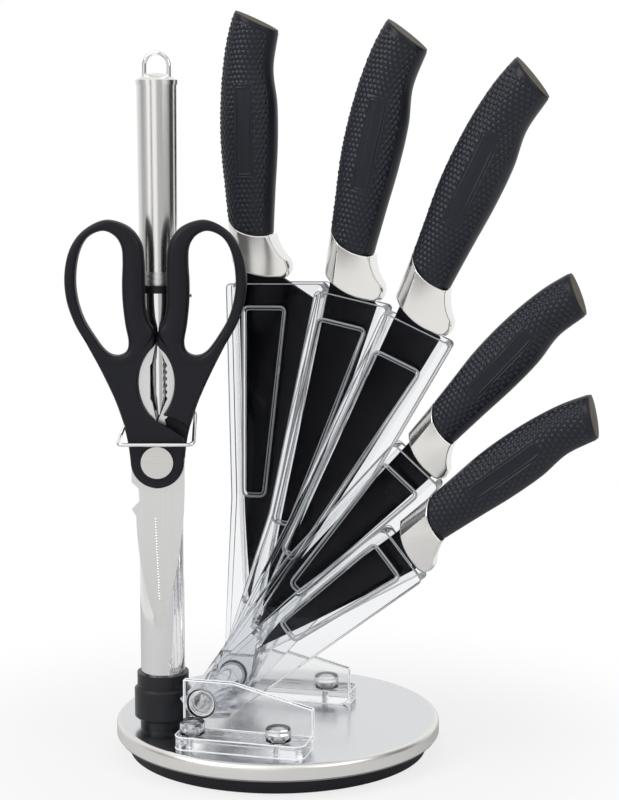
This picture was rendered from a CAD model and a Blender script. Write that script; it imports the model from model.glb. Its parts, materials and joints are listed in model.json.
"""Looks of a turning stand: five dotted-grip knives in clear sleeves, scissors and a sharpening steel."""
import json
import math

import bmesh
import bpy
import numpy as np
from bpy.props import FloatProperty, FloatVectorProperty, IntProperty, PointerProperty
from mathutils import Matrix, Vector

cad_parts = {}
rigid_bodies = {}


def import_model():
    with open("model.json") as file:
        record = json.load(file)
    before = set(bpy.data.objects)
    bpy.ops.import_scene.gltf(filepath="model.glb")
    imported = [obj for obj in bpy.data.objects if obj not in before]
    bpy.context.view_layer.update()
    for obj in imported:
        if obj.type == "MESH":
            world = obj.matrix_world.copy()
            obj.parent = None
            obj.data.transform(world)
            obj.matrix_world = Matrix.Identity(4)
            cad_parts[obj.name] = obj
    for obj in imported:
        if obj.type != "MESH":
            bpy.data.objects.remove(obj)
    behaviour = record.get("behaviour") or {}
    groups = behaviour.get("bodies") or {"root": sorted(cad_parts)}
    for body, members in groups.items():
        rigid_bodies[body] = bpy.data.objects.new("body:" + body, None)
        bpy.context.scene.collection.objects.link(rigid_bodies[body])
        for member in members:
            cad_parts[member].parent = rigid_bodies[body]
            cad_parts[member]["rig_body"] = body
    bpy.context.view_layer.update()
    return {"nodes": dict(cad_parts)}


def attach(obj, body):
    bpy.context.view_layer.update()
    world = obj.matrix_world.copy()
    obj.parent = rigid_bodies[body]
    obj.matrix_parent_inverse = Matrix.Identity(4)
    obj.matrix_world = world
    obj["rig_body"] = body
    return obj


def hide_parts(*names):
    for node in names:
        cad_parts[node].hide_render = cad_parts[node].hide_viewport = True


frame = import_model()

bl_info = {
    "name": "Fan knife stand",
    "version": (1, 0, 0),
    "blender": (4, 5, 0),
    "location": "View3D > Sidebar > Knife stand",
    "description": "Dresses the packed knife stand with its grips, metal, clear sleeves and studio",
    "category": "Object",
}

NODES = frame["nodes"]
# Metres in a millimetre, and the distance in metres within which two points are one
MM = 0.001
MERGE = 2e-6

# Places shared with the solid model, in millimetres and degrees
PIVOT = (-23.4, 35.0)
SLEEVE_DEPTHS = (13.4, -0.2, -13.8, -27.4, -41.0)
KNIFE_ANGLES = (-1.2, 11.9, 24.3, 41.7, 51.7)
GRIP_OFFSETS = (11.2, 15.0, 8.6, -7.4, -4.8)
BOLSTER_FEET = (198.4, 200.3, 204.1, 154.3, 124.3)
GRIP_SCALES = (0.985, 1.0, 1.0, 0.86, 0.86)
POST = (-49.5, -32.0)
BASE_TOP = 16.7
BASE_RADIUS = 80.5
SLEEVE_FRONT = 6.5
SLEEVE_MOUTHS = (196.0, 200.0, 203.5, 154.0, 124.0)
SLEEVE_BENDS = (89.3, 88.0, 94.2, 76.7, 66.7)
SLEEVE_ROOT_LEFT = (-7.8, -9.6)
SLEEVE_ROOT_RIGHT = (13.0, 4.8)
SPINE_OFFSET = 6.8
SPINE_MARGIN = 5.0
EDGE_MARGIN = 6.0
BLADE_HEIGHTS = (39.0, 25.0, 24.0, 18.5, 19.0)
# Sunk panel of each sleeve: distance below the mouth, length, margin on the spine side,
# width at the top, sideways run of its spine edge, width at the foot
PANELS = (
    (11.2, 95.0, 8.0, 22.0, -2.4, 11.6),
    (12.4, 104.0, 3.8, 24.4, -2.0, 9.6),
    (17.6, 110.0, 3.7, 24.4, -1.0, 8.4),
    (9.4, 76.5, 2.8, 22.6, 6.4, 8.0),
    (7.4, 61.5, 2.6, 20.6, 3.6, 12.0),
)
PANEL_ROUND = 3.4
# Beads: inset, height and radius round the panel, then height and radius of the rims of both faces;
# each rim runs down a share of its way to the sleeve's root, and a thinner one follows each inner wall
PANEL_BEADS = ((0.0, SLEEVE_FRONT - 0.3, 0.55), (1.5, SLEEVE_FRONT - 1.15, 0.3))
FACE_RIMS = ((SLEEVE_FRONT, 0.3), (-SLEEVE_FRONT, 0.25))
RIM_ROUND = 2.5
RIM_RUN_LEFT = 0.8
RIM_RUN_RIGHT = 0.86
WALL_INSET = 2.4
WALL_DROP = 2.0
WALL_HEIGHT = SLEEVE_FRONT - 0.1
WALL_RADIUS = 0.2
BRACKET_RIM = 0.32

# Steel cover of the base: rolled edge and where its paler tone is full, foot of the skirt, sheet, depth below
# the solid's top, end of the flat middle, top of the inner wall, inset of the turn above it
COVER_ROUND = 2.6
COVER_EDGE = 1.0
COVER_SKIRT = 9.2
COVER_SHEET = 0.8
COVER_SINK = 0.06
COVER_FLAT = 40.0
COVER_WALL = 13.6
COVER_TURN = 3.2

# Stations of the grip: along, spine side, belly side, half thickness
GRIP_STATIONS = np.array([
    (0.0, -10.0, 10.4, 6.6),
    (14.0, -10.8, 11.0, 8.6),
    (26.0, -11.5, 11.6, 9.8),
    (45.0, -12.9, 12.9, 10.8),
    (66.0, -14.5, 14.5, 11.3),
    (86.0, -14.2, 14.8, 11.1),
    (104.0, -12.5, 13.2, 10.6),
    (117.0, -10.2, 15.4, 10.7),
    (135.0, -4.8, 19.6, 10.9),
])
GRIP_JOIN = ((-11.6, 30.0), (-2.0, 23.2), (11.8, 22.0))
GRIP_SINK = 0.16
# Relief of the grip: half foot of a dot in pitches and its slope, bare lengths at both ends, place of the
# plaque, its frame lines as height and width, the seam as offset, height and width, the roll of both ends
DOT_FOOT = 0.47
DOT_SLOPE = 0.3
RIM_BARE = 1.0
BUTT_BARE = 2.6
PLAQUE_MIDDLE = 73.0
PLAQUE_SHIFT = 0.4
FRAME_STEP = 2.6
FRAME_OUTER = (0.5, 0.4)
FRAME_INNER = (0.42, 0.34)
FRAME_GLOSS = 0.7
SEAM_OFFSET = 0.5
SEAM = (0.14, 0.36)
END_ROLL = (0.5, 0.5)
BUTT_SPINE = (-6.2, 130.8)
BUTT_BELLY = (17.2, 119.6)
BUTT_CAP = 1.4
BUTT_FACE = 0.4
BUTT_INSET = 0.5
# Bolster: outline in (across, along), with arcs as three points, then its crease, roundings, lip and thinning
BOLSTER_RIM = (-11.72, 11.2)
BOLSTER_HOLLOW = ((11.2, 22.0), (14.8, 13.6), (19.6, 8.8))
BOLSTER_NOSE = ((19.6, 8.8), (20.5, 4.3), (14.2, 0.0))
BOLSTER_UNDER = ((-13.0, 10.2), (-2.0, 2.6), (9.0, 0.0))
BOLSTER_FOOT = -10.4
BOLSTER_HEART = (1.5, 13.0)
BOLSTER_CREASE = 6.4
BOLSTER_ROUND = 1.6
BOLSTER_LIP = 0.8
LIP_DEPTH = 0.07
BELLY_SHARP = 36.0
BELLY_SOFTENING = 26.0
BELLY_RANGE = (12.0, 26.0)
NOSE_REACH = 20.0
NOSE_THINNING = 0.3
ARC_COUNT = 30

# Scissors: plane of the rivet, then the right handle's outlines from the rivet, across and up
RIVET_HEIGHT = 151.6
HOLDER_TURN = 15.0
SCISSOR_REACH = 18.0
SCISSOR_HALF = 5.0
SHEET_END = 2.15
CROSSING_RADIUS = 22.0
HUB_RADIUS = 12.6
LENS = ((0.4, 19.5), (8.2, 37.5), (0.4, 55.5))
FINGER_HOLE = (
    (24.5, 108.6), (31.2, 105.7), (35.2, 99.0), (37.1, 89.0), (36.8, 79.0), (34.0, 68.5),
    (28.8, 59.3), (23.5, 52.4), (18.6, 50.4), (14.3, 52.2), (13.1, 56.8), (14.5, 65.0),
    (15.6, 75.3), (15.8, 84.5), (15.4, 94.0), (15.9, 101.2), (18.9, 106.3),
)
LOOP_RIM = (
    (23.0, 113.8), (33.2, 109.1), (39.7, 100.6), (42.5, 89.0), (41.9, 77.0), (38.4, 66.0),
    (32.9, 56.2), (27.1, 47.0), (19.2, 44.5), (8.2, 47.5), (0.9, 60.0), (3.5, 66.8),
    (4.9, 74.0), (5.0, 84.5), (5.2, 95.0), (6.6, 103.6), (12.5, 110.8),
)
CHEEK = ((-12.6, 0.0), (-13.1, 5.5), (-13.2, 10.4), (-7.5, 15.4), (0.4, 19.5))
SHANK_SIDE = (
    (12.6, 0.0), (13.4, 7.0), (14.6, 13.4), (16.2, 18.7),
    (19.9, 29.4), (25.7, 42.2), (32.2, 55.0), (36.2, 63.0),
)
SHANK_TOP = 62.0
SHANK_SINK = 0.25
SHANK_ROLL = 1.6
SAG_START = 45.0
SAG_SHARE = 0.83
LOOP_POWER = 3.0
# Fine teeth of the front scissor blade: first and last place from the rivet, number, radius and height,
# and the rings of one tooth as shares of both
TEETH_START = (-1.2, -28.0)
TEETH_END = (0.3, -67.0)
TOOTH_COUNT = 30
TOOTH_RADIUS = 0.64
TOOTH_HEIGHT = 0.3
TOOTH_RINGS = np.array([(0.0, -0.2), (1.0, -0.2), (0.6, 0.7), (0.0, 1.0)])

# Studio in metres: lamps as name, place, size and power setting; the floor, whose fade to white is two
# distances and two shares; the room's tall panels as azimuth in degrees and brightness
LAMPS = (
    ("key_softbox", (-0.75, -0.95, 1.05), 0.9, "key"),
    ("fill_softbox", (1.15, -0.6, 0.8), 0.8, "fill"),
)
LAMP_TARGET = Vector((0, 0, 0.17))
FLOOR_RADIUS = 0.34
FLOOR_SIDES = 160
FLOOR_DROP = 0.0004
FLOOR_FADE = (0.09, 0.26, 0.78, 1.0)
ROOM_PANELS = (
    (-180, 0.95), (-110, 0.8), (-75, 0.42), (-44, 0.6), (-38, 1.0), (-20, 1.0),
    (-16, 0.12), (-13, 0.12), (-10, 1.0), (13, 1.0), (18, 0.5), (50, 0.42),
    (92, 0.34), (102, 0.03), (124, 0.03), (132, 0.9), (180, 0.95),
)
# Other shades of the room, each with its tone: the floor between two heights of the view's direction, a dark
# gap between azimuths and elevations, a black flag between azimuths that leaves some elevations free, in
# degrees, and the ceiling from one height to another; last, the part behind the stand that clear pieces show
# as white
ROOM_FLOOR = ((-1.1, math.sin(math.radians(-15)), 0.06), (0.9, 0.9, 0.88, 1))
ROOM_GAP = ((-23, -7, 5), (-14.5, -7.5, 0.03), (0.1, 0.1, 0.11, 1))
ROOM_FLAG = ((-78, -54, 6), (-15, 3, 0.04), (0.03, 0.03, 0.04, 1))
ROOM_CEILING = ((0.55, 0.9), (0.95, 0.95, 0.95, 1))
ROOM_REAR = (0.1, 1.1, 0.3)
WHITE = (1, 1, 1, 1)
# Finishes: bump depths in metres, and how strongly acrylic bends light
GRAIN_DEPTH = 0.0001
LINE_DEPTH = 0.00005
ACRYLIC_IOR = 1.49


# Settings

def size_setting(name, description, default, **limits):
    """Setting of a length in millimetres."""
    return FloatProperty(name=name, description=description + ", in mm", default=default, **limits)


def count_setting(name, description, default):
    """Setting of a number of mesh rows or columns."""
    return IntProperty(name=name, description=description, default=default, min=40)


def colour_setting(name, description, *default):
    """Setting of an opaque colour."""
    return FloatVectorProperty(
        name=name, description=description, subtype="COLOR", size=4, default=(*default, 1))


class KNIFESTAND_PG_grip(bpy.types.PropertyGroup):
    """Sizes of the moulded grip's relief and its colours."""

    dot_pitch: size_setting("Dot pitch", "Distance between dots of one row", 2.6, min=1.0)
    row_pitch: size_setting("Row pitch", "Distance between rows of dots", 2.38, min=1.0)
    dot_height: size_setting("Dot height", "Height of a raised dot", 0.46, min=0.0)
    belly_strip: size_setting("Belly strip", "Half width of the smooth strip under the fingers", 7.6)
    spine_strip: size_setting("Spine strip", "Half width of the smooth strip along the spine", 3.4)
    plaque_width: size_setting("Plaque width", "Width of the bare framed plaque", 9.2)
    plaque_length: size_setting("Plaque length", "Length of the bare framed plaque", 45.0)
    rows: count_setting("Rows", "Mesh rows along a grip", 264)
    columns: count_setting("Columns", "Mesh columns round a grip, a multiple of four", 200)
    colour: colour_setting("Grip colour", "Soft black of the grips", 0.0065, 0.008, 0.0155)
    dot_colour: colour_setting("Dot colour", "Rubbed tops of the dots", 0.019, 0.0225, 0.038)
    butt_colour: colour_setting("Butt colour", "Olive grey of the butt caps", 0.105, 0.096, 0.068)


class KNIFESTAND_PG_finish(bpy.types.PropertyGroup):
    """Colours of the metal, plastic and clear pieces."""

    spun: colour_setting("Spun steel", "Steel of the base's top", 0.72, 0.73, 0.745)
    spun_edge: colour_setting("Spun edge", "Rolled edge of the base", 0.88, 0.87, 0.84)
    satin: colour_setting("Satin steel", "Steel of the bolsters and the sharpening steel", 0.86, 0.85, 0.83)
    tube: colour_setting("Polished tube", "Polished steel of the post and wire", 0.83, 0.83, 0.83)
    blade: colour_setting("Blade coating", "Black non-stick coating", 0.0015, 0.0015, 0.004)
    plastic: colour_setting(
        "Black plastic", "Moulded black of the foot, socket and scissors", 0.0075, 0.008, 0.013)
    acrylic: colour_setting("Clear acrylic", "Tint of the clear sleeves", 0.9, 0.908, 0.92)
    bracket: colour_setting("Clear brackets", "Tint of the clear brackets, caps and pin", 0.95, 0.955, 0.965)


class KNIFESTAND_PG_stage(bpy.types.PropertyGroup):
    """Camera and studio values."""

    camera_place: FloatVectorProperty(
        name="Camera", description="Camera place", subtype="TRANSLATION", unit="LENGTH", size=3,
        default=(0.2639, -0.9242, 0.319))
    camera_pitch: FloatProperty(
        name="Pitch", description="Camera tilt from straight down", subtype="ANGLE",
        default=math.radians(81.49))
    camera_turn: FloatProperty(
        name="Turn", description="Camera turn about the vertical", subtype="ANGLE",
        default=math.radians(15.0))
    lens: FloatProperty(name="Lens", description="Focal length in mm on a 36 mm long side", default=89.28)
    key: FloatProperty(
        name="Key light", description="Power of the large soft light", unit="POWER", default=9.0)
    fill: FloatProperty(
        name="Fill light", description="Power of the right-hand soft light", unit="POWER", default=4.0)
    sky: FloatProperty(name="Room light", description="Strength of the even room light", default=0.42)


def stand():
    """The scene's settings of this stand."""
    return bpy.context.scene.knife_stand


# Arrays and meshes

def unit(vectors):
    """Vectors scaled to length 1."""
    return vectors / np.linalg.norm(vectors, axis=-1, keepdims=True)


def circle(count):
    """Equal steps of angle round a full turn."""
    return np.linspace(0, 2 * np.pi, count, endpoint=False)


def mesh_piece(name, node, points, faces, angle, material, replace=True, relief=None):
    """Piece on a solid's body from arrays of points in millimetres and of faces, with its doubles merged."""
    mesh = bpy.data.meshes.new(name)
    points = np.asarray(points, np.float64) * MM
    loops = np.concatenate([np.asarray(block).ravel() for block in faces]).astype(np.int32)
    sizes = np.concatenate([np.full(len(block), np.asarray(block).shape[1]) for block in faces])
    starts = np.concatenate([[0], np.cumsum(sizes)[:-1]]).astype(np.int32)
    mesh.vertices.add(len(points))
    mesh.vertices.foreach_set("co", points.astype(np.float32).ravel())
    mesh.loops.add(len(loops))
    mesh.loops.foreach_set("vertex_index", loops)
    mesh.polygons.add(len(sizes))
    mesh.polygons.foreach_set("loop_start", starts)
    mesh.update(calc_edges=True)
    mesh.validate()
    if relief is not None:
        values = mesh.attributes.new("relief", "FLOAT", "POINT").data
        values.foreach_set("value", relief.astype(np.float32).ravel())
    work = bmesh.new()
    work.from_mesh(mesh)
    bmesh.ops.remove_doubles(work, verts=work.verts, dist=MERGE)
    bmesh.ops.dissolve_degenerate(work, edges=work.edges, dist=1e-7)
    bmesh.ops.recalc_face_normals(work, faces=work.faces)
    work.to_mesh(mesh)
    work.free()
    return finish_piece(name, mesh, node, angle, material, replace)


def finish_piece(name, mesh, node, angle, material, replace=True):
    """Link a mesh as a piece on a solid's body and slot, smooth it and mark its sharp edges."""
    mesh.shade_smooth()
    mesh.set_sharp_from_angle(angle=math.radians(angle))
    mesh.materials.append(material)
    piece = bpy.data.objects.new(name, mesh)
    bpy.context.scene.collection.objects.link(piece)
    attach(piece, NODES[node]["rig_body"])
    if replace:
        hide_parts(node)
    return piece


def merged(node):
    """Points and triangles of a solid with equal points merged."""
    source = NODES[node].data
    points = np.empty(len(source.vertices) * 3, np.float32)
    source.vertices.foreach_get("co", points)
    points = points.reshape(-1, 3)
    corners = np.empty(len(source.loops), np.int32)
    source.loops.foreach_get("vertex_index", corners)
    cells = np.round(points / MERGE).astype(np.int64)
    _, first, shared = np.unique(cells, axis=0, return_index=True, return_inverse=True)
    triangles = shared.ravel()[corners].reshape(-1, 3)
    whole = (triangles != np.roll(triangles, 1, axis=1)).all(1)
    return points[first], triangles[whole]


def smooth_copy(node, material, angle=28.0):
    """Copy of a solid's triangles with equal points merged, so that its rounds shade smoothly."""
    points, triangles = merged(node)
    mesh = bpy.data.meshes.new(node + "_skin")
    mesh.from_pydata(points.tolist(), [], triangles.tolist())
    mesh.update(calc_edges=True)
    return finish_piece(node + "_skin", mesh, node, angle, material)


def sharp_edges(node, angle):
    """Ends of a solid's edges whose two triangles turn by more than an angle, in millimetres."""
    points, triangles = merged(node)
    corners = points[triangles].astype(float)
    normals = unit(np.cross(corners[:, 1] - corners[:, 0], corners[:, 2] - corners[:, 0]))
    pairs = np.concatenate([triangles[:, [0, 1]], triangles[:, [1, 2]], triangles[:, [2, 0]]])
    pairs = np.sort(pairs, axis=1)
    edges, place, count = np.unique(pairs, axis=0, return_inverse=True, return_counts=True)
    owners = np.argsort(place.ravel(), kind="stable") % len(triangles)
    first = (np.cumsum(count) - count)[count == 2]
    turn = (normals[owners[first]] * normals[owners[first + 1]]).sum(1)
    return points[edges[count == 2][turn < math.cos(math.radians(angle))]].astype(float) / MM


def grid_faces(rows, columns):
    """Quads of a grid of rows by columns, joined round the columns."""
    row = np.arange(rows - 1)[:, None] * columns
    column = np.arange(columns)[None, :]
    right = (column + 1) % columns
    above = row + columns
    return np.stack([row + column, row + right, above + right, above + column], -1).reshape(-1, 4)


def joined(shells, place):
    """Points and faces of several grids of rings as one mesh, carried to the stand by a placing function."""
    starts = np.cumsum([0] + [shell.shape[0] * shell.shape[1] for shell in shells])
    faces = [grid_faces(*shell.shape[:2]) + start for shell, start in zip(shells, starts)]
    return np.concatenate([place(shell).reshape(-1, 3) for shell in shells]), faces


def smoothstep(low, high, value):
    """Smooth rise from 0 at low to 1 at high: t t (3 - 2 t)."""
    t = np.clip((value - low) / (high - low), 0, 1)
    return t * t * (3 - 2 * t)


def quarter_round(share):
    """Rise of a quarter circle from 0 at share 0 to 1 at share 1: sqrt(1 - (1 - share)^2)."""
    return np.sqrt(1 - (1 - np.clip(share, 0, 1)) ** 2)


def ridge(distance, height, width):
    """Smooth ridge: the height times the bell curve exp(-(distance / width)^2)."""
    return height * np.exp(-(distance / width) ** 2)


def hermite(t, first, last, first_slope, last_slope):
    """Cubic between two values with given slopes at its ends, for t from 0 to 1."""
    return (
        (2 * t ** 3 - 3 * t ** 2 + 1) * first
        + (t ** 3 - 2 * t ** 2 + t) * first_slope
        + (3 * t ** 2 - 2 * t ** 3) * last
        + (t ** 3 - t ** 2) * last_slope
    )


def circle_through(start, middle, end):
    """Centre and radius of the circle through three points: equal distance gives two linear equations."""
    a, b, c = (np.array(p, float) for p in (start, middle, end))
    centre = np.linalg.solve(2 * np.array([b - a, c - a]), [b @ b - a @ a, c @ c - a @ a])
    return centre, np.hypot(*(a - centre))


def arc_points(start, middle, end, count):
    """Points on the circle through three points of a plane, from the first to the last."""
    centre, radius = circle_through(start, middle, end)
    legs = np.array([start, middle, end], float) - centre
    angles = np.unwrap(np.arctan2(legs[:, 1], legs[:, 0]))
    sweep = np.linspace(angles[0], angles[2], count)
    return centre + radius * np.stack([np.cos(sweep), np.sin(sweep)], -1)


def arc_height(points, across):
    """Height of the lower arc through three points at each place across, level beyond its ends."""
    centre, radius = circle_through(*points)
    inside = np.clip(across, points[0][0], points[2][0])
    return centre[1] - np.sqrt(np.maximum(radius ** 2 - (inside - centre[0]) ** 2, 0))


def soft_corners(path, radius, steps=7):
    """Path of points in a plane whose inner corners are rounded by short quadratic curves."""
    path = np.array(path, float)
    before, at, after = path[:-2], path[1:-1], path[2:]
    back, ahead = before - at, after - at
    back_length = np.linalg.norm(back, axis=1, keepdims=True)
    ahead_length = np.linalg.norm(ahead, axis=1, keepdims=True)
    trim = np.minimum(radius, 0.45 * np.minimum(back_length, ahead_length))
    t = np.linspace(0, 1, steps)[None, :, None]
    first = (at + back / back_length * trim)[:, None]
    last = (at + ahead / ahead_length * trim)[:, None]
    rounds = (1 - t) ** 2 * first + 2 * t * (1 - t) * at[:, None] + t ** 2 * last
    return np.vstack([path[:1], rounds.reshape(-1, 2), path[-1:]])


def lathe(name, node, profile, material, segments=256, radius=0.3):
    """Turned piece: a profile of (radius, height) with softened corners, carried round the stand's axis."""
    profile = soft_corners(profile, radius, 5)
    turn = circle(segments)
    points = np.stack([
        profile[:, :1] * np.cos(turn),
        profile[:, :1] * np.sin(turn),
        np.repeat(profile[:, 1:], segments, 1),
    ], -1).reshape(-1, 3)
    return mesh_piece(name, node, points, [grid_faces(len(profile), segments)], 35.0, material)


# Knives

def fan_place(number, local):
    """Sleeve coordinates (across, along, out) to the stand: turned by the knife's angle about the pin."""
    angle = math.radians(KNIFE_ANGLES[number])
    sine, cosine = math.sin(angle), math.cos(angle)
    axes = np.array([(cosine, 0, -sine), (sine, 0, cosine), (0, -1, 0)])
    return (PIVOT[0], SLEEVE_DEPTHS[number], PIVOT[1]) + local @ axes


def knife_piece(number, part, suffix, shell, angle, material, relief=None):
    """Piece of one knife from a grid in grip coordinates: the grip's axis stands beside the pin, and its foot
    at the sleeve's mouth."""
    node = f"{part}_{number + 1}"
    foot = np.array([GRIP_OFFSETS[number], BOLSTER_FEET[number], 0.0])
    points = fan_place(number, shell + foot).reshape(-1, 3)
    faces = [grid_faces(*shell.shape[:2])]
    return mesh_piece(node + suffix, node, points, faces, angle, material, relief=relief)


def grip_profile(along):
    """Middle, half width and half thickness of the oval at each place along: cubics through the stations."""
    knots, spine, belly, thick = GRIP_STATIONS.T
    values = np.stack([(spine + belly) / 2, (belly - spine) / 2, thick], -1)
    slopes = np.gradient(values, knots, axis=0)
    place = np.clip(along, knots[0], knots[-1])
    span = np.clip(np.searchsorted(knots, place, "right") - 1, 0, len(knots) - 2)
    step = (knots[span + 1] - knots[span])[..., None]
    t = (place - knots[span])[..., None] / step
    blended = hermite(t, values[span], values[span + 1], step * slopes[span], step * slopes[span + 1])
    return blended[..., 0], blended[..., 1], blended[..., 2]


def butt_height(across):
    """Height of the slanted end of the grip at each place across: a straight line."""
    slope = (BUTT_BELLY[1] - BUTT_SPINE[1]) / (BUTT_BELLY[0] - BUTT_SPINE[0])
    return BUTT_SPINE[1] + slope * (across - BUTT_SPINE[0])


def oval_edge(curve, turn):
    """Where the oval's side lines meet an end curve: repeated substitution of height and place across."""
    along = np.full_like(turn, curve(0.0))
    for _ in range(16):
        middle, half, _ = grip_profile(along)
        along = curve(middle + half * np.cos(turn))
    return along


def girth(half, thick, turn):
    """Distance round each oval from its belly side, equal on the front and the back."""
    step = turn[1] - turn[0]
    speed = np.hypot(half * np.sin(turn), thick * np.cos(turn))
    length = np.cumsum((speed + np.roll(speed, 1, axis=1)) / 2 * step, axis=1)
    length -= length[:, :1]
    mirrored = length[:, (-np.arange(len(turn))) % len(turn)]
    return np.where(turn > np.pi + 1e-9, mirrored, length)


def box_distance(across, along, width, length):
    """Signed distance to a rectangle's edge, negative inside."""
    over = np.abs(across) - width / 2
    beyond = np.abs(along) - length / 2
    outside = np.hypot(np.maximum(over, 0), np.maximum(beyond, 0))
    return outside + np.minimum(np.maximum(over, beyond), 0)


def grip_relief(scale, along, round_belly, half_round, front, rim, butt):
    """Height and gloss of the moulded grip: staggered rows of blunt pyramids, smooth strips, and a bare
    plaque in two frame lines."""
    look = stand().grip
    across = round_belly - front
    row = along / look.row_pitch
    column = across / look.dot_pitch + 0.5 * (np.round(row) % 2)
    reach = np.maximum(np.abs(column - np.round(column)), np.abs(row - np.round(row)))
    dots = look.dot_height * np.clip((DOT_FOOT - reach) / DOT_SLOPE, 0, 1)
    room = np.minimum.reduce([
        round_belly - look.belly_strip,
        half_round - round_belly - look.spine_strip,
        along - rim - RIM_BARE,
        butt - along - BUTT_BARE,
    ])
    beside, up = across + PLAQUE_SHIFT, along - scale * PLAQUE_MIDDLE
    width, length = scale * look.plaque_width, scale * look.plaque_length
    outer = box_distance(beside, up, width, length)
    inner = box_distance(beside, up, width - FRAME_STEP, length - FRAME_STEP)
    dots = dots * smoothstep(0.0, 0.5, room) * smoothstep(0.2, 0.7, outer)
    lines = ridge(outer, *FRAME_OUTER) + ridge(inner, *FRAME_INNER)
    end = np.minimum(along - rim, butt - along)
    seam = ridge(round_belly - look.belly_strip + SEAM_OFFSET, *SEAM) * smoothstep(0.5, 2.0, end)
    return dots + lines + seam - ridge(end, *END_ROLL) - GRIP_SINK, dots + FRAME_GLOSS * lines


def grip_shell(scale, lower, upper, rows, columns, relief=False, lift=0.0):
    """Oval skin between two end curves, and its relief: across is the middle plus the half width times the
    cosine, out is the half thickness times the sine, both grown along the oval's normal; rings close the
    ends."""
    turn = circle(columns)
    low = oval_edge(lower, turn)
    high = oval_edge(upper, turn)
    along = low + (high - low) * np.linspace(0, 1, rows)[:, None]
    middle, half, thick = grip_profile(along)
    grow = np.full_like(along, lift)
    raised = np.zeros_like(along)
    if relief:
        round_belly = girth(scale * half, scale * thick, turn)
        half_round = round_belly[:, columns // 2][:, None]
        front = round_belly[:, columns // 4][:, None]
        grow, raised = grip_relief(
            scale, scale * along, round_belly, half_round, front, scale * low, scale * high)
    normal = unit(np.stack([thick * np.cos(turn), half * np.sin(turn)], -1))
    side = np.stack([
        scale * (middle + half * np.cos(turn)) + grow * normal[..., 0],
        scale * along,
        scale * thick * np.sin(turn) + grow * normal[..., 1],
    ], -1)
    shares = np.linspace(0, 1, 7)[:-1, None]

    def end_rings(edge, curve):
        """Rings that shrink an edge to its middle and follow the end curve."""
        heart = edge.mean(0)
        rings = heart + (edge - heart) * shares[..., None]
        straight = curve(edge[:, 0] / scale) * shares + curve(heart[0] / scale) * (1 - shares)
        rings[..., 1] += scale * (curve(rings[..., 0] / scale) - straight)
        return rings

    ends = np.zeros((len(shares), columns))
    shell = np.concatenate([end_rings(side[0], lower), side, end_rings(side[-1], upper)[::-1]])
    return shell, np.concatenate([ends, raised, ends])


def grip_piece(number, material):
    """Dotted black grip of one knife between its bolster and its butt cap."""
    look, scale = stand().grip, GRIP_SCALES[number]
    end = (BUTT_CAP - BUTT_FACE) / scale
    shell, raised = grip_shell(
        scale, lambda x: arc_height(GRIP_JOIN, x), lambda x: butt_height(x) + end,
        int(look.rows * scale), look.columns, relief=True)
    return knife_piece(number, "handle", "_dotted", shell, 62.0, material, raised / look.dot_height)


def butt_piece(number, material):
    """Thin cap on the slanted end of a grip: a short wall set in a little and a flat face."""
    scale = GRIP_SCALES[number]
    low, high = (BUTT_CAP - BUTT_FACE) / scale, BUTT_CAP / scale
    shell, _ = grip_shell(
        scale, lambda x: butt_height(x) + low, lambda x: butt_height(x) + high, 4, 120, lift=-BUTT_INSET)
    return knife_piece(number, "butt_cap", "_set_in", shell, 50.0, material)


def spine_side(along):
    """Place across of the grip's spine side at each place along its first stations."""
    return np.interp(along, GRIP_STATIONS[:4, 0], GRIP_STATIONS[:4, 1])


def bolster_outline():
    """Closed outline of a bolster in (across, along), and its part from the hollow to the under side."""
    rim_across = np.linspace(*BOLSTER_RIM, 40)
    rim = np.stack([rim_across, arc_height(GRIP_JOIN, rim_across)], -1)
    hollow = arc_points(*BOLSTER_HOLLOW, ARC_COUNT)
    nose = arc_points(*BOLSTER_NOSE, ARC_COUNT)
    sole = np.stack([np.linspace(BOLSTER_NOSE[2][0], BOLSTER_UNDER[2][0], 8), np.zeros(8)], -1)
    under_across = np.linspace(BOLSTER_UNDER[2][0], BOLSTER_FOOT, 36)
    under = np.stack([under_across, arc_height(BOLSTER_UNDER, under_across)], -1)
    spine_along = np.linspace(under[-1, 1], rim[0, 1], 24)
    spine = np.stack([spine_side(spine_along), spine_along], -1)
    edge = np.vstack([hollow[:-1], nose[:-1], sole[:-1], under[:-1]])
    return np.vstack([rim[:-1], edge, spine[:-1]]), np.vstack([edge, under[-1:]])


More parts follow.
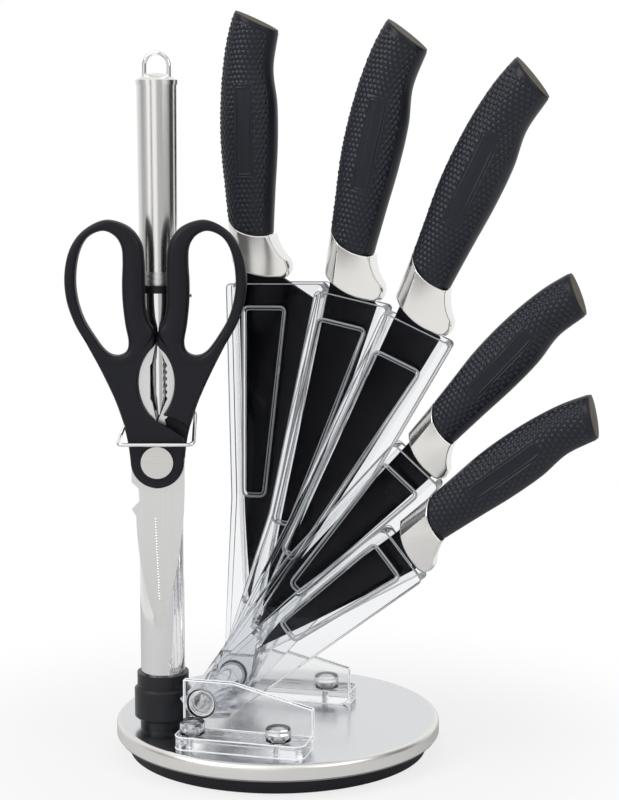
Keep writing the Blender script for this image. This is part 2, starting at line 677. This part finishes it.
def bolster_piece(number, material):
    """Bolster: rings from a heart to the outline. A flat face thins towards the nose, and left of a crease
    the side falls away with the square root of the distance; the belly side is a superellipse, rounder near
    the grip."""
    outline, edge = bolster_outline()
    heart = np.array(BOLSTER_HEART)
    shares = np.sin(np.linspace(0, np.pi / 2, 34))
    flat = heart + (outline[None] - heart) * shares[:, None, None]
    across, along = flat[..., 0], flat[..., 1]
    belly = np.vstack([edge[:2 * ARC_COUNT - 1], BOLSTER_UNDER[2:]])[::-1]
    right = np.interp(along, belly[:, 1], belly[:, 0])
    _, _, thick = grip_profile(along)
    crease = spine_side(along) + BOLSTER_CREASE
    side = np.sqrt(1 - np.clip((crease - across) / BOLSTER_CREASE, 0, 1))
    power = BELLY_SHARP - BELLY_SOFTENING * smoothstep(*BELLY_RANGE, along)
    belly_side = (1 - np.clip(across / right, 0, 1) ** power) ** (1 / power)
    below = np.linalg.norm(flat[:, :, None] - edge[None, None, ARC_COUNT:], axis=-1).min(-1)
    rim = quarter_round((arc_height(GRIP_JOIN, across) - along) / BOLSTER_LIP)
    lip = 1 - LIP_DEPTH * (1 - rim)
    nose = 1 - NOSE_THINNING * np.clip(across / NOSE_REACH, 0, 1) ** 2
    out = thick * nose * side * belly_side * quarter_round(below / BOLSTER_ROUND) * lip
    front = np.stack([across, along, out], -1)
    back = np.stack([across, along, -out], -1)[::-1]
    shell = np.concatenate([front, back]) * GRIP_SCALES[number]
    return knife_piece(number, "bolster", "_cast", shell, 44.0, material)


# Scissors

def scissor_place(local):
    """Scissor coordinates (across, up, out) to the stand: turned with the holder, from the rivet's middle."""
    turn = math.radians(HOLDER_TURN)
    sine, cosine = math.sin(turn), math.cos(turn)
    axes = np.array([(cosine, sine, 0), (0, 0, 1), (sine, -cosine, 0)])
    return (*POST, RIVET_HEIGHT) + SCISSOR_REACH * axes[2] + local @ axes


def smooth_curve(points, count, closed=False):
    """Cubic curve through points, whose slope at a point is half the step between its neighbours."""
    points = np.array(points, float)
    spans = len(points) if closed else len(points) - 1
    place = np.linspace(0, spans, count, endpoint=not closed)
    span = np.minimum(place.astype(int), spans - 1)
    if closed:
        slopes = (np.roll(points, -1, axis=0) - np.roll(points, 1, axis=0)) / 2
    else:
        slopes = np.gradient(points, axis=0)
    after = (span + 1) % len(points)
    return hermite((place - span)[:, None], points[span], points[after], slopes[span], slopes[after])


def loop_rings(stations=200, around=32):
    """Finger loop: a superellipse carried round the hole, as wide as the space from the hole to the rim."""
    hole = smooth_curve(FINGER_HOLE, stations, True)[:, None]
    rim = smooth_curve(LOOP_RIM, stations, True)[:, None]
    turn = circle(around)[None, :, None]
    wide = np.sign(np.cos(turn)) * np.abs(np.cos(turn)) ** (2 / LOOP_POWER)
    out = np.sign(np.sin(turn)) * np.abs(np.sin(turn)) ** (2 / LOOP_POWER)
    flat = (hole + rim) / 2 + (rim - hole) / 2 * wide
    rings = np.concatenate([flat, np.broadcast_to(SCISSOR_HALF * out, flat.shape[:2] + (1,))], -1)
    return np.concatenate([rings, rings[:1]])


def shank_rings(face, around=96):
    """Shank from the hub to the loop: level rows between two side curves, which sag under the hole at the
    top, with rolled edges. Within the crossing circle only the front or the rear half of the thickness is
    left."""
    diagonal = -HUB_RADIUS * math.sqrt(0.5)
    hub = arc_points((0, -HUB_RADIUS), (diagonal, diagonal), (-HUB_RADIUS, 0), 20)
    middle = np.stack([np.full(10, LENS[2][0]), np.linspace(LENS[2][1], SHANK_TOP, 10)], -1)
    left = np.vstack([hub[:-1], smooth_curve(CHEEK, 40)[:-1], arc_points(*LENS, 70)[:-1], middle])
    side = np.vstack([hub[:-1] * (-1, 1), smooth_curve(SHANK_SIDE, 120)])
    up = left[:, 1]
    right = np.interp(up, side[:, 1], side[:, 0])
    share = (1 - np.cos(np.linspace(0, np.pi, around // 2 + 1))) / 2
    across = left[:, :1] + (right - left[:, 0])[:, None] * share
    height = up[:, None] - 4 * share * (1 - share) * SAG_SHARE * np.maximum(up - SAG_START, 0)[:, None]
    edge = np.minimum(across - left[:, :1], right[:, None] - across)
    roll = quarter_round(np.minimum(edge, (SHANK_TOP - up)[:, None]) / SHANK_ROLL)
    beyond = smoothstep(CROSSING_RADIUS - 0.5, CROSSING_RADIUS + 0.5, np.hypot(across, height))
    top = SCISSOR_HALF - SHANK_SINK
    thick = (top - SHEET_END) / 2 * (1 - beyond) + top * beyond
    centre = face * (top + SHEET_END) / 2 * (1 - beyond)
    front = np.stack([across, height, centre + thick * roll], -1)
    back = np.stack([across, height, centre - thick * roll], -1)[:, -2:0:-1]
    return np.concatenate([front, back], 1)


def handle_piece(name, side, face, material):
    """Moulded scissor handle: the rolled finger loop and the flat shank that runs into it."""
    node = f"scissors_{name}_handle"
    shells = [loop_rings(), shank_rings(face)]
    points, faces = joined(shells, lambda shell: scissor_place(shell * (side, 1, 1)))
    return mesh_piece(node + "_moulded", node, points, faces, 50.0, material)


def tooth_row(material, around=12):
    """Fine teeth along the front blade's cutting edge: closed blunt cones in a straight row on its face."""
    turn = circle(around)
    share = np.linspace(0, 1, TOOTH_COUNT)[:, None, None]
    start, end = np.array(TEETH_START), np.array(TEETH_END)
    reach = TOOTH_RADIUS * TOOTH_RINGS[:, :1]
    across = start[0] + (end - start)[0] * share + reach * np.cos(turn)
    up = start[1] + (end - start)[1] * share + reach * np.sin(turn)
    out = np.broadcast_to(SHEET_END + TOOTH_HEIGHT * TOOTH_RINGS[:, 1:], across.shape)
    points, faces = joined(np.stack([across, up, out], -1), scissor_place)
    node = "scissors_front_blade"
    return mesh_piece(node + "_teeth", node, points, faces, 60.0, material, replace=False)


# Sleeves and brackets

def bead_rings(path, height, radius, closed, around=10):
    """Round bead: a circle carried along a path on a sleeve; closed paths join, open ones end in points."""
    before = path - np.roll(path, 1, axis=0)
    after = np.roll(path, -1, axis=0) - path
    size = np.full(len(path), radius)
    if not closed:
        before[0], after[-1] = after[0], before[-1]
        size[0] = size[-1] = 0
    ahead = unit(unit(before) + unit(after))
    side = np.stack([-ahead[:, 1], ahead[:, 0]], -1)
    turn = circle(around)
    spread = (size[:, None] * np.cos(turn))[..., None] * side[:, None]
    out = height + size[:, None, None] * np.sin(turn)[None, :, None]
    rings = np.concatenate([path[:, None] + spread, out], -1)
    return np.concatenate([rings, rings[:1]]) if closed else rings


def edge_lines(node, material, angle=50.0, around=6):
    """Rounded rims of a clear moulding: every sharp edge of its solid carries a thin six-sided prism."""
    ends = sharp_edges(node, angle)
    ahead = unit(ends[:, 1] - ends[:, 0])
    side = unit(np.cross(ahead, [0.31, 0.52, 0.79]))
    up = np.cross(ahead, side)
    turn = circle(around)[None, :, None]
    ring = BRACKET_RIM * (np.cos(turn) * side[:, None] + np.sin(turn) * up[:, None])
    points = (ends[:, :, None] + ring[:, None]).reshape(-1, 3)
    first = np.arange(len(ends))[:, None] * 2 * around
    walls = (grid_faces(2, around)[None] + first[..., None]).reshape(-1, 4)
    step = np.arange(around)[None]
    caps = np.concatenate([first + step[:, ::-1], first + around + step])
    return mesh_piece(node + "_rims", node, points, [walls, caps], 60.0, material, replace=False)


def sleeve_lines(number, material):
    """Rounded rims of one sleeve: two beads round its sunk panel, one along the mouth and sides of each face,
    and one along each inner wall."""
    top, length, margin, width, run, foot_width = PANELS[number]
    mouth = SLEEVE_MOUTHS[number]
    spine = GRIP_OFFSETS[number] - SPINE_OFFSET * GRIP_SCALES[number]
    left = spine - SPINE_MARGIN
    right = spine + BLADE_HEIGHTS[number] + EDGE_MARGIN
    start = left + margin
    beads = []
    for inset, height, radius in PANEL_BEADS:
        high, low = mouth - top - inset, mouth - top - length + inset
        corners = [
            (start + inset, high), (start + width - inset, high),
            (start + run + foot_width - inset, low), (start + run + inset, low),
        ]
        path = soft_corners([corners[-1], *corners, corners[0]], PANEL_ROUND - inset)[1:-1]
        beads.append(bead_rings(path, height, radius, True))
    bend = np.array([left, SLEEVE_BENDS[number]])
    low_left = bend + RIM_RUN_LEFT * (SLEEVE_ROOT_LEFT - bend)
    corner = np.array([right, mouth])
    low_right = corner + RIM_RUN_RIGHT * (SLEEVE_ROOT_RIGHT - corner)
    step = np.array([WALL_INSET, 0])
    rim = [low_left, bend, (left, mouth), corner, low_right]
    left_wall = [low_left + step, bend + step, (left + WALL_INSET, mouth - WALL_DROP)]
    right_wall = [corner - (WALL_INSET, WALL_DROP), low_right - step]
    for height, radius in FACE_RIMS:
        beads.append(bead_rings(soft_corners(rim, RIM_ROUND), height, radius, False))
    for wall in (left_wall, right_wall):
        beads.append(bead_rings(soft_corners(wall, RIM_ROUND), WALL_HEIGHT, WALL_RADIUS, False))
    points, faces = joined(beads, lambda bead: fan_place(number, bead))
    node = f"sleeve_{number + 1}"
    return mesh_piece(node + "_rims", node, points, faces, 60.0, material, replace=False)


# Shader nodes

def feed(tree, node, inputs):
    """Set each input of a node: a socket is linked, anything else becomes its value."""
    for label, value in inputs.items():
        if isinstance(value, bpy.types.NodeSocket):
            tree.links.new(value, node.inputs[label])
        else:
            node.inputs[label].default_value = value


def add(tree, kind, inputs=None, **settings):
    """New node of a tree with its settings and then its inputs; its outputs are returned."""
    node = tree.nodes.new(kind)
    for label, value in settings.items():
        setattr(node, label, value)
    feed(tree, node, inputs or {})
    return node.outputs


def calc(tree, operation, first, second):
    """Result of a Math node."""
    return add(tree, "ShaderNodeMath", {0: first, 1: second}, operation=operation)[0]


def remap(tree, value, start, end, low=0.0, high=1.0, curve="LINEAR"):
    """Value carried from one range to another and held at its ends."""
    inputs = {"Value": value, "From Min": start, "From Max": end, "To Min": low, "To Max": high}
    return add(tree, "ShaderNodeMapRange", inputs, interpolation_type=curve)["Result"]


def window(tree, value, low, high, fall):
    """1 between two values, falling smoothly to 0 within a distance on both sides."""
    rise = remap(tree, value, low - fall, low, curve="SMOOTHSTEP")
    return calc(tree, "MULTIPLY", rise, remap(tree, value, high + fall, high, curve="SMOOTHSTEP"))


def blend(tree, share, first, second):
    """Mix of two colours by a share."""
    return add(tree, "ShaderNodeMix", {"Factor": share, "A": first, "B": second}, data_type="RGBA")["Result"]


def blend_shaders(tree, share, first, second):
    """Mix of two shaders by a share."""
    return add(tree, "ShaderNodeMixShader", {"Fac": share, 1: first, 2: second})["Shader"]


def object_place(tree):
    """Place on the object."""
    return add(tree, "ShaderNodeTexCoord")["Object"]


def stretched(tree, scale):
    """Place on the object, stretched along its axes."""
    return add(tree, "ShaderNodeMapping", {"Vector": object_place(tree), "Scale": scale})["Vector"]


def distance_of(tree, place):
    """Length of a place vector."""
    return add(tree, "ShaderNodeVectorMath", {0: place}, operation="LENGTH")["Value"]


def noise(tree, place, scale, detail=2.0):
    """Soft noise of a scale and a detail."""
    return add(tree, "ShaderNodeTexNoise", {"Vector": place, "Scale": scale, "Detail": detail})["Fac"]


def group_of(name, inputs):
    """Empty shader group with the given inputs and with colour, roughness and height as outputs."""
    kinds = {"value": "NodeSocketFloat", "colour": "NodeSocketColor", "vector": "NodeSocketVector"}
    tree = bpy.data.node_groups.new(name, "ShaderNodeTree")
    for label, kind, default in inputs:
        socket = tree.interface.new_socket(name=label, in_out="INPUT", socket_type=kinds[kind])
        if default is not None:
            socket.default_value = default
    for label, kind in (("Colour", "colour"), ("Roughness", "value"), ("Height", "value")):
        tree.interface.new_socket(name=label, in_out="OUTPUT", socket_type=kinds[kind])
    return tree, tree.nodes.new("NodeGroupInput").outputs, tree.nodes.new("NodeGroupOutput")


def use_group(tree, name, inputs):
    """Outputs of a shader group with the given inputs."""
    return add(tree, "ShaderNodeGroup", inputs, node_tree=bpy.data.node_groups[name])


def moulded_grain():
    """Group: grain and faint dust. A broad noise drifts colour and roughness, a finer one is height."""
    tree, given, out = group_of("moulded_grain", (
        ("Colour", "colour", (0.02, 0.02, 0.02, 1)), ("Grain size", "value", 900.0),
        ("Roughness", "value", 0.45), ("Dust", "value", 0.1),
    ))
    place = object_place(tree)
    broad = noise(tree, place, 38, 5)
    dust = calc(tree, "MULTIPLY", broad, given["Dust"])
    feed(tree, out, {
        "Colour": blend(tree, dust, given["Colour"], (0.24, 0.24, 0.25, 1)),
        "Roughness": calc(tree, "ADD", remap(tree, broad, 0.3, 0.7, -0.07, 0.07), given["Roughness"]),
        "Height": noise(tree, place, given["Grain size"], 3),
    })


def brushed_lines():
    """Group: brushed metal. A stretched noise shades the colour and roughness and gives the height."""
    tree, given, out = group_of("brushed_lines", (
        ("Vector", "vector", None), ("Colour", "colour", (0.8, 0.8, 0.8, 1)),
        ("Roughness", "value", 0.25), ("Contrast", "value", 0.1),
    ))
    streak = noise(tree, given["Vector"], 1, 4)
    drift = calc(tree, "MULTIPLY", calc(tree, "SUBTRACT", streak, 0.5), given["Contrast"])
    shade = {0: given["Colour"], "Scale": calc(tree, "ADD", 1.0, drift)}
    feed(tree, out, {
        "Colour": add(tree, "ShaderNodeVectorMath", shade, operation="SCALE")["Vector"],
        "Roughness": calc(tree, "ADD", drift, given["Roughness"]),
        "Height": streak,
    })


def shader(name, metallic=0.0, **plain):
    """Material with a Principled shader whose even values are set on its own sockets."""
    material = bpy.data.materials.new(name)
    material.use_nodes = True
    lit = material.node_tree.nodes["Principled BSDF"]
    values = {label.replace("_", " "): value for label, value in plain.items()}
    feed(material.node_tree, lit, {"Metallic": metallic, **values})
    return material, material.node_tree, lit


def bump(tree, height, strength, distance):
    """Normal of a height."""
    inputs = {"Strength": strength, "Distance": distance, "Height": height}
    return add(tree, "ShaderNodeBump", inputs)["Normal"]


def wear(tree, lit, group, strength, distance):
    """Feed a shader with the colour, roughness and height of a group."""
    feed(tree, lit, {
        "Base Color": group["Colour"],
        "Roughness": group["Roughness"],
        "Normal": bump(tree, group["Height"], strength, distance),
    })


# Finishes

def dotted(name, colour):
    """Soft grip finish: the relief attribute lifts colour and gloss from matt hollows to rubbed tops."""
    material, tree, lit = shader(name, Specular_IOR_Level=0.34)
    relief = add(tree, "ShaderNodeAttribute", attribute_name="relief")["Fac"]
    inputs = {"Colour": colour, "Grain size": 1400, "Roughness": 0.0, "Dust": 0.01}
    grain = use_group(tree, "moulded_grain", inputs)
    gloss = remap(tree, relief, 0, 1, 0.4, 0.24)
    feed(tree, lit, {
        "Base Color": blend(tree, remap(tree, relief, 0.35, 1), grain["Colour"], stand().grip.dot_colour),
        "Roughness": calc(tree, "ADD", gloss, grain["Roughness"]),
        "Normal": bump(tree, grain["Height"], 0.2, GRAIN_DEPTH),
    })
    return material


def moulded(name, colour, rough, grain, dust, strength, **plain):
    """Moulded plastic or rubber finish."""
    material, tree, lit = shader(name, **plain)
    inputs = {"Colour": colour, "Grain size": grain, "Roughness": rough, "Dust": dust}
    wear(tree, lit, use_group(tree, "moulded_grain", inputs), strength, GRAIN_DEPTH)
    return material


def brushed(name, colour, rough, contrast, stretch, strength):
    """Brushed or polished metal finish; the smallest stretch is the direction of the lines."""
    material, tree, lit = shader(name, 1.0)
    inputs = {"Vector": stretched(tree, stretch), "Colour": colour, "Roughness": rough, "Contrast": contrast}
    wear(tree, lit, use_group(tree, "brushed_lines", inputs), strength, LINE_DEPTH)
    return material


def spun_steel(name, colour, edge_colour):
    """Spun cover finish: a smooth top and, beyond a distance from the axis, the paler, duller rolled edge."""
    material, tree, lit = shader(name, 1.0)
    level = {0: object_place(tree), 1: (1, 1, 0)}
    distance = distance_of(tree, add(tree, "ShaderNodeVectorMath", level, operation="MULTIPLY")["Vector"])
    edge = remap(tree, distance, (BASE_RADIUS - COVER_ROUND) * MM, (BASE_RADIUS - COVER_EDGE) * MM)
    inputs = {"Vector": stretched(tree, (40, 40, 40)), "Colour": colour, "Roughness": 0.0, "Contrast": 0.04}
    group = use_group(tree, "brushed_lines", inputs)
    feed(tree, lit, {
        "Base Color": blend(tree, edge, group["Colour"], edge_colour),
        "Roughness": calc(tree, "ADD", remap(tree, edge, 0, 1, 0.2, 0.36), group["Roughness"]),
    })
    return material


def clear_acrylic(name, tint, shine, low, high):
    """Clear moulded acrylic: plain transmission, with faint handling marks between two roughnesses."""
    glint = (0.8 * shine, 0.82 * shine, shine, 1)
    material, tree, lit = shader(
        name, IOR=ACRYLIC_IOR, Transmission_Weight=1.0, Base_Color=tint, Specular_Tint=glint)
    smear = noise(tree, object_place(tree), 60, 4)
    feed(tree, lit, {"Roughness": remap(tree, smear, 0.35, 0.75, low, high)})
    return material


def rim_acrylic(name, tone, clear, glow):
    """Rounded moulded rims that gather light: partly clear, with a soft drift in their roughness."""
    material, tree, lit = shader(
        name, IOR=ACRYLIC_IOR, Transmission_Weight=clear, Base_Color=tone,
        Emission_Color=(0.95, 0.97, 1.0, 1), Emission_Strength=glow)
    drift = noise(tree, object_place(tree), 90)
    feed(tree, lit, {"Roughness": remap(tree, drift, 0, 1, 0.12, 0.34)})
    return material


def make_finishes():
    """All finishes of the stand, by name."""
    grip, finish = stand().grip, stand().finish
    moulded_grain()
    brushed_lines()
    return {
        "grip": dotted("soft_black_grip", grip.colour),
        "butt": moulded("olive_butt_cap", grip.butt_colour, 0.6, 700, 0.08, 0.2, Specular_IOR_Level=0.12),
        "scissor_grip": moulded(
            "scissor_black", finish.plastic, 0.42, 1100, 0.02, 0.3, Specular_IOR_Level=0.24),
        "plastic": moulded("socket_black", finish.plastic, 0.32, 650, 0.04, 0.4, Specular_IOR_Level=0.35),
        "foot": moulded("foot_black", finish.plastic, 0.5, 500, 0.04, 0.3, Specular_IOR_Level=0.3),
        "rubber": moulded("pad_rubber", (0.03, 0.03, 0.03, 1), 0.75, 500, 0.12, 0.5),
        "glide": moulded("glide_white", (0.78, 0.78, 0.75, 1), 0.4, 700, 0.05, 0.2),
        "carrier": moulded("carrier_grey", (0.27, 0.27, 0.28, 1), 0.5, 600, 0.1, 0.3),
        "blade": moulded("blade_coating", finish.blade, 0.2, 1600, 0.01, 0.1, Specular_IOR_Level=0.2),
        "spun": spun_steel("spun_base_steel", finish.spun, finish.spun_edge),
        "chrome": brushed("cast_bolster_chrome", finish.satin, 0.2, 0.04, (120, 120, 120), 0.0),
        "satin": brushed("satin_handle_steel", finish.satin, 0.2, 0.16, (1500, 1500, 12), 0.1),
        "tube": brushed("polished_tube_steel", finish.tube, 0.07, 0.05, (700, 700, 9), 0.03),
        "wire": brushed("polished_wire_steel", finish.tube, 0.1, 0.05, (500, 500, 500), 0.03),
        "ground": brushed("ground_blade_steel", (0.78, 0.775, 0.765, 1), 0.36, 0.12, (1400, 1400, 30), 0.05),
        "rivet": brushed("brushed_rivet_steel", (0.72, 0.70, 0.68, 1), 0.34, 0.2, (60, 60, 1800), 0.12),
        "screw": brushed("plain_screw_steel", (0.84, 0.84, 0.85, 1), 0.34, 0.1, (800, 800, 800), 0.05),
        "acrylic": clear_acrylic("clear_acrylic", finish.acrylic, 0.28, 0.0, 0.05),
        "bracket": clear_acrylic("clear_bracket", finish.bracket, 1.0, 0.1, 0.26),
        "rim": rim_acrylic("gleaming_bracket_rim", (0.93, 0.94, 0.96, 1), 0.1, 0.26),
        "sleeve_rim": rim_acrylic("grey_sleeve_rim", (0.56, 0.58, 0.62, 1), 0.3, 0.0),
    }


FINISH = {}


def dress(node, finish):
    """Give a kept solid its finish."""
    NODES[node].data.materials.clear()
    NODES[node].data.materials.append(FINISH[finish])


# Studio

def studio_floor(scene):
    """Pale floor that shows mostly white to the camera and keeps a soft shadow."""
    mesh = bpy.data.meshes.new("studio_floor")
    turn = circle(FLOOR_SIDES)
    edge = FLOOR_RADIUS * np.stack([np.cos(turn), np.sin(turn), np.zeros(FLOOR_SIDES)], -1)
    mesh.from_pydata(edge.tolist(), [], [tuple(range(FLOOR_SIDES))])
    floor = bpy.data.objects.new("studio_floor", mesh)
    floor.location.z = -FLOOR_DROP
    scene.collection.objects.link(floor)
    material, tree, lit = shader("studio_floor", Base_Color=(0.9, 0.9, 0.9, 1), Roughness=0.9)
    fade = remap(tree, distance_of(tree, object_place(tree)), *FLOOR_FADE, "SMOOTHSTEP")
    ray = add(tree, "ShaderNodeLightPath")
    seen = calc(tree, "MAXIMUM", ray["Is Camera Ray"], ray["Is Transmission Ray"])
    white = add(tree, "ShaderNodeEmission")["Emission"]
    mix = blend_shaders(tree, calc(tree, "MULTIPLY", seen, fade), lit.outputs["BSDF"], white)
    feed(tree, tree.nodes["Material Output"], {"Surface": mix})
    mesh.materials.append(material)


def studio_room(scene, sky):
    """Even room light; the camera and clear pieces see white, metal sees tall soft panels with dark gaps."""
    scene.world = bpy.data.worlds.new("studio_room")
    scene.world.use_nodes = True
    tree = scene.world.node_tree
    tree.nodes.clear()
    parts = add(tree, "ShaderNodeSeparateXYZ", {0: add(tree, "ShaderNodeTexCoord")["Generated"]})
    azimuth = calc(tree, "ARCTAN2", parts["X"], calc(tree, "MULTIPLY", parts["Y"], -1))

    def turned(low, high, fall):
        """Window between two azimuths in degrees."""
        return window(tree, azimuth, math.radians(low), math.radians(high), math.radians(fall))

    def raised(low, high, fall):
        """Window between two elevations in degrees, with a fall as a share of the height."""
        return window(tree, parts["Z"], math.sin(math.radians(low)), math.sin(math.radians(high)), fall)

    panels = tree.nodes.new("ShaderNodeValToRGB")
    feed(tree, panels, {"Fac": remap(tree, azimuth, -math.pi, math.pi)})
    stops = panels.color_ramp.elements
    stops[0].color = (ROOM_PANELS[0][1],) * 3 + (1,)
    stops[-1].color = (ROOM_PANELS[-1][1],) * 3 + (1,)
    for degrees, level in ROOM_PANELS[1:-1]:
        stops.new((degrees + 180) / 360).color = (level, level, level, 1)
    floor_range, floor_tone = ROOM_FLOOR
    floor = window(tree, parts["Z"], *floor_range)
    gap_turn, gap_rise, gap_tone = ROOM_GAP
    gap = calc(tree, "MULTIPLY", turned(*gap_turn), raised(*gap_rise))
    flag_turn, flag_free, flag_tone = ROOM_FLAG
    flag = calc(tree, "MULTIPLY", turned(*flag_turn), calc(tree, "SUBTRACT", 1, raised(*flag_free)))
    ceiling_range, ceiling_tone = ROOM_CEILING
    ceiling = remap(tree, parts["Z"], *ceiling_range)
    view = panels.outputs["Color"]
    for share, tone in ((floor, floor_tone), (gap, gap_tone), (flag, flag_tone), (ceiling, ceiling_tone)):
        view = blend(tree, share, view, tone)
    ray = add(tree, "ShaderNodeLightPath")
    even, mirror, white = (
        add(tree, "ShaderNodeBackground", {"Color": tone, "Strength": strength})["Background"]
        for tone, strength in ((WHITE, sky), (view, 1.0), (WHITE, 1.0))
    )
    bent = calc(tree, "MAXIMUM", ray["Is Glossy Ray"], ray["Is Transmission Ray"])
    rear = calc(tree, "MULTIPLY", window(tree, parts["Y"], *ROOM_REAR), ray["Is Transmission Ray"])
    clear = calc(tree, "MAXIMUM", ray["Is Camera Ray"], rear)
    final = blend_shaders(tree, clear, blend_shaders(tree, bent, even, mirror), white)
    add(tree, "ShaderNodeOutputWorld", {"Surface": final})


# Operators

class KNIFESTAND_OT_stage(bpy.types.Operator):
    """Camera, floor, lamps and room of the studio."""

    bl_idname = "knifestand.stage"
    bl_label = "Studio"

    def execute(self, context):
        scene, look = context.scene, stand().stage
        scene.view_settings.view_transform = "Standard"
        scene.cycles.max_bounces = 24
        scene.cycles.glossy_bounces = 16
        scene.cycles.transmission_bounces = 20
        camera = bpy.data.cameras.new("studio_camera")
        camera.sensor_width = 36
        camera.lens = look.lens
        camera.clip_start = 0.01
        camera.clip_end = 100
        holder = bpy.data.objects.new("studio_camera", camera)
        holder.location = look.camera_place
        holder.rotation_euler = (look.camera_pitch, 0, look.camera_turn)
        scene.collection.objects.link(holder)
        scene.camera = holder
        for name, place, size, power in LAMPS:
            lamp = bpy.data.lights.new(name, "AREA")
            lamp.size = size
            lamp.energy = getattr(look, power)
            light = bpy.data.objects.new(name, lamp)
            light.location = place
            light.rotation_euler = (LAMP_TARGET - Vector(place)).to_track_quat("-Z", "Y").to_euler()
            scene.collection.objects.link(light)
        studio_floor(scene)
        studio_room(scene, look.sky)
        return {"FINISHED"}


class KNIFESTAND_OT_base(bpy.types.Operator):
    """Spun steel cover, black foot and the parts that it turns on."""

    bl_idname = "knifestand.base"
    bl_label = "Turning base"

    def execute(self, context):
        turn = np.linspace(0, np.pi / 2, 9)
        top, under = BASE_TOP - COVER_SINK, BASE_TOP - COVER_SHEET
        inner, round_start = BASE_RADIUS - COVER_SHEET, BASE_RADIUS - COVER_ROUND
        edge = np.stack([np.sin(turn), np.cos(turn)], -1) * COVER_ROUND + (round_start, top - COVER_ROUND)
        cover = [
            (0, top), (COVER_FLAT, top), *edge, (BASE_RADIUS, COVER_SKIRT), (inner, COVER_SKIRT),
            (inner, COVER_WALL), (BASE_RADIUS - COVER_TURN, under), (0, under),
        ]
        lathe("base_cover_spun", "base_cover", cover, FINISH["spun"])
        for node, finish in (
            ("base_foot", "foot"), ("foot_pads", "rubber"), ("glide_ring", "glide"),
            ("spindle_screw", "screw"), ("base_carrier", "carrier"),
        ):
            dress(node, finish)
        return {"FINISHED"}


class KNIFESTAND_OT_post(bpy.types.Operator):
    """Socket, polished tube, liner and the sharpening steel standing in it."""

    bl_idname = "knifestand.post"
    bl_label = "Post and sharpening steel"

    def execute(self, context):
        for node, finish in (
            ("post_socket", "plastic"), ("post_tube", "tube"), ("tube_liner", "plastic"),
            ("steel_ferrule", "screw"), ("steel_handle", "satin"), ("steel_cap", "satin"),
            ("hanging_loop", "wire"),
        ):
            smooth_copy(node, FINISH[finish])
        dress("steel_rod", "ground")
        return {"FINISHED"}


class KNIFESTAND_OT_fan(bpy.types.Operator):
    """Clear sleeves, brackets, caps and pin, with the screws inside the caps."""

    bl_idname = "knifestand.fan"
    bl_label = "Clear fan"

    def execute(self, context):
        for number in range(5):
            smooth_copy(f"sleeve_{number + 1}", FINISH["acrylic"])
        for node in ("front_bracket", "rear_bracket", "screw_caps", "pivot_pin"):
            smooth_copy(node, FINISH["bracket"])
        for node in ("front_bracket", "rear_bracket"):
            edge_lines(node, FINISH["rim"])
        for number in range(5):
            sleeve_lines(number, FINISH["sleeve_rim"])
        smooth_copy("bracket_screws", FINISH["screw"])
        return {"FINISHED"}


class KNIFESTAND_OT_knives(bpy.types.Operator):
    """Blades, bolsters, dotted grips and butt caps of the five knives."""

    bl_idname = "knifestand.knives"
    bl_label = "Knives"

    def execute(self, context):
        for number in range(5):
            smooth_copy(f"blade_{number + 1}", FINISH["blade"])
            bolster_piece(number, FINISH["chrome"])
            grip_piece(number, FINISH["grip"])
            butt_piece(number, FINISH["butt"])
        return {"FINISHED"}


class KNIFESTAND_OT_scissors(bpy.types.Operator):
    """Scissors in their wire holder."""

    bl_idname = "knifestand.scissors"
    bl_label = "Scissors"

    def execute(self, context):
        for name, side, face in (("rear", 1, -1), ("front", -1, 1)):
            handle_piece(name, side, face, FINISH["scissor_grip"])
            smooth_copy(f"scissors_{name}_blade", FINISH["ground"])
        tooth_row(FINISH["wire"])
        smooth_copy("scissors_rivet", FINISH["rivet"])
        smooth_copy("scissors_wire", FINISH["wire"])
        return {"FINISHED"}


class KNIFESTAND_PT_panel(bpy.types.Panel):
    """Sidebar list of the stand's pieces."""

    bl_idname = "KNIFESTAND_PT_panel"
    bl_label = "Knife stand"
    bl_space_type = "VIEW_3D"
    bl_region_type = "UI"
    bl_category = "Knife stand"

    def draw(self, context):
        for step in STEPS:
            self.layout.operator(step.bl_idname)


class KNIFESTAND_PG_all(bpy.types.PropertyGroup):
    """All settings of the stand."""

    grip: PointerProperty(name="Grip", description="Moulded grips", type=KNIFESTAND_PG_grip)
    finish: PointerProperty(name="Finish", description="Finishes", type=KNIFESTAND_PG_finish)
    stage: PointerProperty(name="Stage", description="Studio", type=KNIFESTAND_PG_stage)


STEPS = (
    KNIFESTAND_OT_stage,
    KNIFESTAND_OT_base,
    KNIFESTAND_OT_post,
    KNIFESTAND_OT_fan,
    KNIFESTAND_OT_knives,
    KNIFESTAND_OT_scissors,
)
SETTINGS = (KNIFESTAND_PG_grip, KNIFESTAND_PG_finish, KNIFESTAND_PG_stage, KNIFESTAND_PG_all)
CLASSES = (*SETTINGS, *STEPS, KNIFESTAND_PT_panel)


def register():
    """Register the classes and hang the settings on the scene."""
    for kind in CLASSES:
        bpy.utils.register_class(kind)
    bpy.types.Scene.knife_stand = PointerProperty(
        name="Knife stand", description="Settings of the stand", type=KNIFESTAND_PG_all)


def unregister():
    """Undo register."""
    del bpy.types.Scene.knife_stand
    for kind in reversed(CLASSES):
        bpy.utils.unregister_class(kind)


def main():
    """Make the finishes, run every step in order and note both boxes."""
    register()
    FINISH.update(make_finishes())
    bpy.ops.knifestand.stage()
    bpy.ops.knifestand.base()
    bpy.ops.knifestand.post()
    bpy.ops.knifestand.fan()
    bpy.ops.knifestand.knives()
    bpy.ops.knifestand.scissors()


if __name__ == "__main__":
    main()
